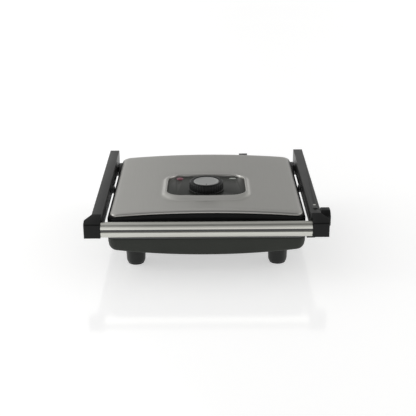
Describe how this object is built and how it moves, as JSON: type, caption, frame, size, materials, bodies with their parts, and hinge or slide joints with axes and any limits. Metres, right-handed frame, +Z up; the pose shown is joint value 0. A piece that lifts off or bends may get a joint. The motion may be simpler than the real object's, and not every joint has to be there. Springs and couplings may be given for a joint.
{
  "type": "panini press",
  "caption": "Contact grill with a brushed steel floating lid, side arms with a steel bar handle, ribbed plates, a thermostat knob and a sliding lid lock.",
  "frame": {"origin": "middle of the footprint on the standing surface", "axes": "+X to the user's right when facing the handle, +Y to the rear hinge, +Z up"},
  "size_m": [0.3815, 0.34, 0.115],
  "materials": {
    "charcoal_shell": "satin",
    "black_moulding": "satin",
    "foot_moulding": "satin",
    "pad_rubber": "matte",
    "conduit_rubber": "matte",
    "cover_steel": "brushed",
    "handle_steel": "brushed",
    "cast_plate": "non-stick coated",
    "heater_tube": "oxidised",
    "zinc_plate": "zinc plated",
    "panel_plastic": "fine texture",
    "lamp_red": "gloss",
    "lamp_pale": "gloss",
    "knob_silver": "brushed",
    "board": "matte",
    "ceramic": "matte",
    "mark_pale": "matte"
  },
  "bodies": {
    "base": {"base_shell": "charcoal_shell", "base_rim": "black_moulding", "lower_grill_plate": "cast_plate", "lower_heating_element": "heater_tube", "lower_heat_shield": "zinc_plate", "front_left_foot": "foot_moulding", "front_right_foot": "foot_moulding", "rear_left_foot": "foot_moulding", "rear_right_foot": "foot_moulding", "foot_pads": "pad_rubber", "foot_screws": "zinc_plate", "left_hinge_bracket": "black_moulding", "right_hinge_bracket": "black_moulding", "left_hinge_pin": "zinc_plate", "right_hinge_pin": "zinc_plate", "bracket_screws": "zinc_plate", "cord_gland": "black_moulding", "terminal_block": "ceramic", "lock_catch": "black_moulding", "lower_conduit_gland": "black_moulding", "conduit_lower": "conduit_rubber"},
    "yoke": {"left_arm": "black_moulding", "right_arm": "black_moulding", "handle_bar": "handle_steel", "handle_core": "black_moulding", "handle_strip": "black_moulding", "left_end_cap": "black_moulding", "right_end_cap": "black_moulding", "left_pivot_pin": "zinc_plate", "right_pivot_pin": "zinc_plate", "cap_screws": "zinc_plate", "lock_guide_screw": "black_moulding", "lock_mark": "mark_pale"},
    "lid": {"upper_housing": "black_moulding", "lid_cover": "cover_steel", "control_panel": "panel_plastic", "power_lamp": "lamp_red", "ready_lamp": "lamp_pale", "lamp_board": "board", "thermostat": "zinc_plate", "upper_grill_plate": "cast_plate", "upper_heating_element": "heater_tube", "upper_heat_shield": "zinc_plate", "left_pivot_boss": "black_moulding", "right_pivot_boss": "black_moulding", "upper_conduit_gland": "black_moulding", "conduit_upper": "conduit_rubber", "lid_screws": "zinc_plate"},
    "knob": {"knob_body": "black_moulding", "knob_cap": "knob_silver", "knob_pointer": "black_moulding", "thermostat_shaft": "zinc_plate"},
    "lock": {"lock_slider": "black_moulding", "lock_hook": "black_moulding"}
  },
  "joints": [
    {"name": "arm_hinge", "type": "hinge", "parent": "base", "child": "yoke", "pos_m": [0, 0.158, 0.07], "axis": [-1, 0, 0], "range_deg": [0, 100], "deforming": ["conduit_lower"]},
    {"name": "lid_float", "type": "hinge", "parent": "yoke", "child": "lid", "pos_m": [0, 0.004, 0.086], "axis": [-1, 0, 0], "range_deg": [-4.2, 0], "deforming": ["conduit_upper"]},
    {"name": "knob_turn", "type": "hinge", "parent": "lid", "child": "knob", "pos_m": [0, -0.036, 0.1], "axis": [0, 0, -1], "range_deg": [0, 270]},
    {"name": "lock_slide", "type": "slide", "parent": "yoke", "child": "lock", "axis": [0, 1, 0], "range_m": [0, 0.012]}
  ],
  "couplings": [
    {"joint": "lid_float", "follows": "arm_hinge", "ratio": -0.04}
  ]
}
